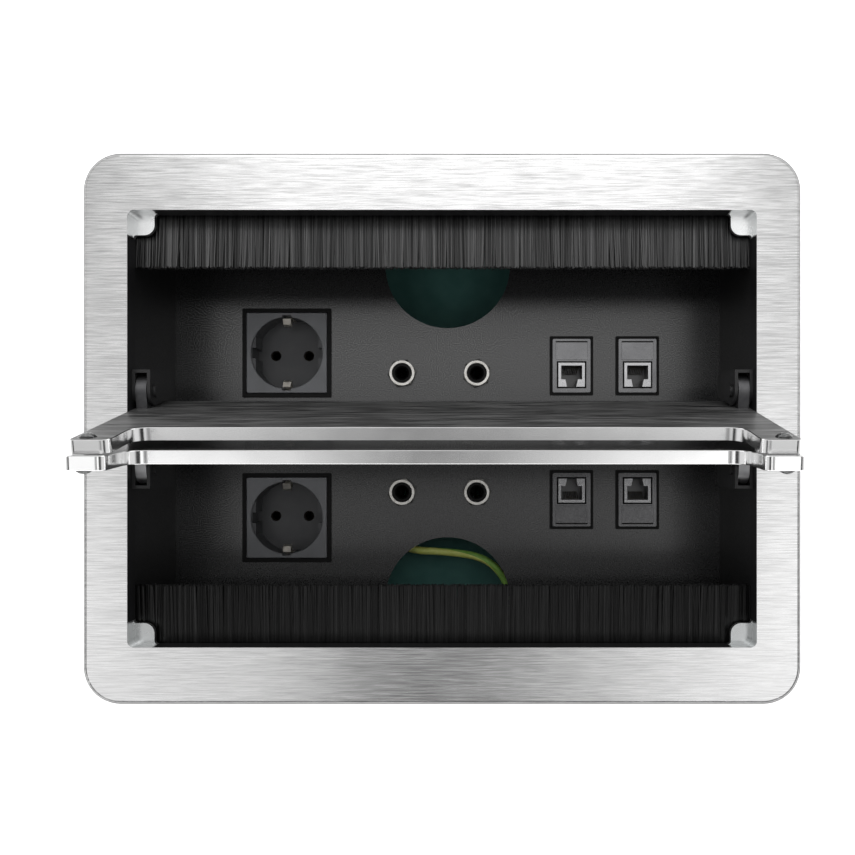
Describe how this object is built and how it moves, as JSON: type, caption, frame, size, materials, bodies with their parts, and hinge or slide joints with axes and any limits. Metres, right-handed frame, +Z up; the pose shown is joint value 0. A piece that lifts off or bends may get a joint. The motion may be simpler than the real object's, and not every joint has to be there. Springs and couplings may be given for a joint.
{
  "type": "desk socket box",
  "caption": "Desk socket box for a table cut-out: brushed bezel, two hinged lids with brush cable slots, and a well of mains sockets, audio jacks and data sockets.",
  "frame": {"origin": "centre of the opening, on the table plane where the bezel's underside rests", "axes": "+X along the box, mains sockets at -X; +Y to the far side; +Z up out of the table"},
  "size_m": [0.345, 0.265, 0.2008],
  "materials": {
    "brushed_aluminium": "brushed along the length, clear anodised",
    "hinge_aluminium": "bead blasted",
    "black_steel": "black coated sheet steel",
    "anthracite_steel": "fine anthracite powder coat",
    "bright_steel": "zinc plated",
    "dark_aluminium": "black anodised",
    "bristle": "dense nylon bristles",
    "clear_rubber": "clear soft dome",
    "black_plastic": "fine moulded texture",
    "grey_plastic": "satin moulded",
    "mid_grey_plastic": "satin moulded",
    "light_grey_shell": "cast shell, light grey",
    "nickel": "nickel plated",
    "brass": "plain contacts",
    "earth_insulation": "green and yellow insulation"
  },
  "bodies": {
    "box": {"bezel_frame": "brushed_aluminium", "blind_rivets": "black_steel", "bracket_packers": "black_steel", "brush_bristles_far": "bristle", "brush_bristles_near": "bristle", "brush_holder_far": "dark_aluminium", "brush_holder_near": "dark_aluminium", "brush_screws": "bright_steel", "data_contacts": "brass", "data_jack_far_left": "light_grey_shell", "data_jack_far_right": "light_grey_shell", "data_jack_near_left": "light_grey_shell", "data_jack_near_right": "light_grey_shell", "data_label_covers": "mid_grey_plastic", "data_plate_far_left": "mid_grey_plastic", "data_plate_far_right": "mid_grey_plastic", "data_plate_near_left": "mid_grey_plastic", "data_plate_near_right": "mid_grey_plastic", "data_surrounds": "black_plastic", "earth_nut": "bright_steel", "earth_stud": "bright_steel", "earth_terminal": "nickel", "earth_wire": "earth_insulation", "end_wall_left": "black_steel", "end_wall_right": "black_steel", "frame_screws": "bright_steel", "hinge_bracket_far_left": "black_steel", "hinge_bracket_far_right": "black_steel", "hinge_bracket_near_left": "black_steel", "hinge_bracket_near_right": "black_steel", "hinge_pins": "black_steel", "jack_body_far_left": "black_plastic", "jack_body_far_right": "black_plastic", "jack_body_near_left": "black_plastic", "jack_body_near_right": "black_plastic", "jack_nuts": "nickel", "jack_springs": "brass", "long_wall_far": "black_steel", "long_wall_near": "black_steel", "power_contacts_far": "brass", "power_contacts_near": "brass", "power_earth_clip_far": "nickel", "power_earth_clip_near": "nickel", "power_face_far": "grey_plastic", "power_face_near": "grey_plastic", "power_housing_far": "grey_plastic", "power_housing_near": "grey_plastic", "power_surround_far": "black_plastic", "power_surround_near": "black_plastic", "socket_panel": "anthracite_steel"},
    "far_lid": {"arm_screws_far": "bright_steel", "hinge_arm_far_left": "hinge_aluminium", "hinge_arm_far_right": "hinge_aluminium", "lid_bumpers_far": "clear_rubber", "lid_far": "brushed_aluminium"},
    "near_lid": {"arm_screws_near": "bright_steel", "hinge_arm_near_left": "hinge_aluminium", "hinge_arm_near_right": "hinge_aluminium", "lid_bumpers_near": "clear_rubber", "lid_near": "brushed_aluminium"}
  },
  "joints": [
    {"name": "far_lid_hinge", "type": "hinge", "parent": "box", "child": "far_lid", "pos_m": [0, 0.019, -0.0095], "axis": [1, 0, 0], "range_deg": [-102.3, 0]},
    {"name": "near_lid_hinge", "type": "hinge", "parent": "box", "child": "near_lid", "pos_m": [0, -0.019, -0.0095], "axis": [-1, 0, 0], "range_deg": [-84.9, 0]}
  ]
}
